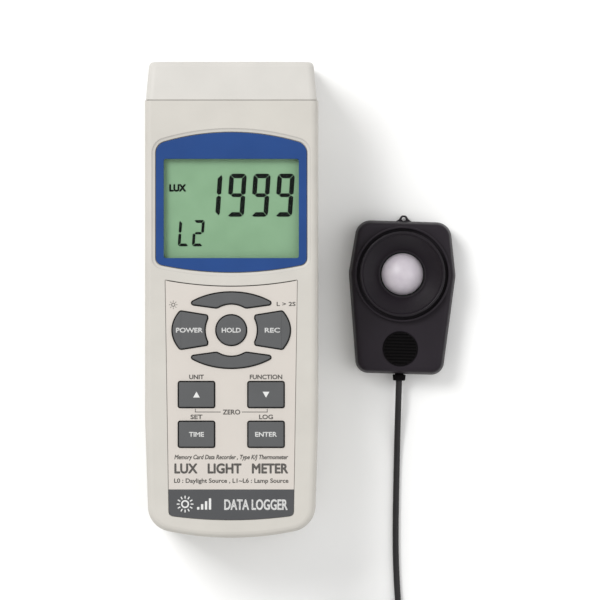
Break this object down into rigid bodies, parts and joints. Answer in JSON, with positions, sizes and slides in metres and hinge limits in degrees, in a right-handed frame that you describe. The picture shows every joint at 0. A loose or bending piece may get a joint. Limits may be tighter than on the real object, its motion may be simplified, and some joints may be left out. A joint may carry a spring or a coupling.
{
  "type": "light meter",
  "caption": "Hand-held light meter with a display, keypad and memory card, and a separate cosine light sensor on a coiled cord with a round plug.",
  "frame": {"origin": "middle of the meter's flat back face, on which it lies", "axes": "+Z out of the display face, +Y towards the top end with the sockets, +X to the user's right, where the sensor lies"},
  "size_m": [0.1198, 0.2523, 0.0483],
  "materials": {
    "case_plastic": "light beige moulded ABS, fine spark texture, satin",
    "cap_plastic": "slightly lighter beige moulded ABS",
    "bezel_blue": "satin blue moulded bezel",
    "overlay_film": "printed polycarbonate film, beige with a dark grey lower band",
    "key_rubber": "dark grey moulded keys with white legends",
    "dark_plastic": "dark grey plastic",
    "sensor_plastic": "black ABS, satin, faint brown tint",
    "black_rubber": "black ribbed rubber",
    "window_clear": "clear polycarbonate pane",
    "lcd": "reflective green liquid-crystal display",
    "white_plastic": "white display frame and light guide",
    "diffuser": "milky opal diffuser",
    "circuit_board": "green solder-masked glass-fibre board",
    "silicone": "grey silicone sheet",
    "cell_jacket": "jacketed alkaline cell",
    "steel": "plated steel",
    "brass": "turned brass",
    "cord_jacket": "black PVC jacket, satin"
  },
  "bodies": {
    "meter": {"front_case": "case_plastic", "rear_case": "case_plastic", "top_cap": "cap_plastic", "display_bezel": "bezel_blue", "keypad_overlay": "overlay_film", "display_window": "window_clear", "lcd_glass": "lcd", "lcd_holder": "white_plastic", "backlight_panel": "white_plastic", "keypad_mat": "silicone", "main_board": "circuit_board", "probe_socket": "dark_plastic", "data_jack": "dark_plastic", "power_jack": "dark_plastic", "thermocouple_socket": "brass", "tripod_insert": "brass", "card_socket": "steel", "battery_contacts_left": "steel", "battery_contacts_right": "steel", "case_screw_1": "steel", "case_screw_2": "steel", "case_screw_3": "steel", "case_screw_4": "steel", "battery_1": "cell_jacket", "battery_2": "cell_jacket", "battery_3": "cell_jacket", "battery_4": "cell_jacket", "battery_5": "cell_jacket", "battery_6": "cell_jacket"},
    "key_hold": {"key_hold": "key_rubber"},
    "key_power": {"key_power": "key_rubber"},
    "key_rec": {"key_rec": "key_rubber"},
    "key_crescent_upper": {"key_crescent_upper": "key_rubber"},
    "key_crescent_lower": {"key_crescent_lower": "key_rubber"},
    "key_unit": {"key_unit": "key_rubber"},
    "key_function": {"key_function": "key_rubber"},
    "key_time": {"key_time": "key_rubber"},
    "key_enter": {"key_enter": "key_rubber"},
    "tilt_stand": {"tilt_stand": "case_plastic"},
    "battery_cover": {"battery_cover": "case_plastic", "battery_cover_screw": "steel"},
    "jack_cover": {"jack_cover": "dark_plastic"},
    "memory_card": {"memory_card": "dark_plastic"},
    "reset_button": {"reset_button": "dark_plastic"},
    "sensor": {"sensor_top_shell": "sensor_plastic", "sensor_base_shell": "sensor_plastic", "sensor_cup": "sensor_plastic", "diffuser_dome": "diffuser", "photodiode": "dark_plastic", "sensor_board": "circuit_board", "thumb_grip": "black_rubber", "cord_grommet": "black_rubber", "sensor_screw_1": "steel", "sensor_screw_2": "steel", "cord_run": "cord_jacket", "cord_coil": "cord_jacket", "cord_tail": "cord_jacket", "cord_tie": "black_rubber", "plug_grip": "black_rubber", "plug_shell": "steel"}
  },
  "joints": [
    {"name": "key_hold_press", "type": "slide", "parent": "meter", "child": "key_hold", "axis": [0, 0, -1], "range_m": [0, 0.001], "stiffness_N_per_m": 300, "springref_m": -0.001},
    {"name": "key_power_press", "type": "slide", "parent": "meter", "child": "key_power", "axis": [0, 0, -1], "range_m": [0, 0.001], "stiffness_N_per_m": 300, "springref_m": -0.001},
    {"name": "key_rec_press", "type": "slide", "parent": "meter", "child": "key_rec", "axis": [0, 0, -1], "range_m": [0, 0.001], "stiffness_N_per_m": 300, "springref_m": -0.001},
    {"name": "key_crescent_upper_press", "type": "slide", "parent": "meter", "child": "key_crescent_upper", "axis": [0, 0, -1], "range_m": [0, 0.001], "stiffness_N_per_m": 300, "springref_m": -0.001},
    {"name": "key_crescent_lower_press", "type": "slide", "parent": "meter", "child": "key_crescent_lower", "axis": [0, 0, -1], "range_m": [0, 0.001], "stiffness_N_per_m": 300, "springref_m": -0.001},
    {"name": "key_unit_press", "type": "slide", "parent": "meter", "child": "key_unit", "axis": [0, 0, -1], "range_m": [0, 0.001], "stiffness_N_per_m": 300, "springref_m": -0.001},
    {"name": "key_function_press", "type": "slide", "parent": "meter", "child": "key_function", "axis": [0, 0, -1], "range_m": [0, 0.001], "stiffness_N_per_m": 300, "springref_m": -0.001},
    {"name": "key_time_press", "type": "slide", "parent": "meter", "child": "key_time", "axis": [0, 0, -1], "range_m": [0, 0.001], "stiffness_N_per_m": 300, "springref_m": -0.001},
    {"name": "key_enter_press", "type": "slide", "parent": "meter", "child": "key_enter", "axis": [0, 0, -1], "range_m": [0, 0.001], "stiffness_N_per_m": 300, "springref_m": -0.001},
    {"name": "tilt_stand_hinge", "type": "hinge", "parent": "meter", "child": "tilt_stand", "pos_m": [0, 0.0706, 0.0019], "axis": [1, 0, 0], "range_deg": [0, 65]},
    {"name": "battery_cover_lift", "type": "slide", "parent": "meter", "child": "battery_cover", "axis": [0, 0, -1], "range_m": [0, 0.014]},
    {"name": "jack_cover_hinge", "type": "hinge", "parent": "meter", "child": "jack_cover", "pos_m": [0.03195, 0.037, 0.0252], "axis": [0, -1, 0], "range_deg": [0, 90]},
    {"name": "memory_card_slide", "type": "slide", "parent": "meter", "child": "memory_card", "axis": [0, -1, 0], "range_m": [0, 0.024]},
    {"name": "reset_button_press", "type": "slide", "parent": "meter", "child": "reset_button", "axis": [-1, 0, 0], "range_m": [0, 0.0005], "stiffness_N_per_m": 400, "springref_m": -0.001},
    {"name": "sensor_lift", "type": "slide", "parent": "meter", "child": "sensor", "axis": [0, 0, 1], "range_m": [0, 0.1]}
  ]
}
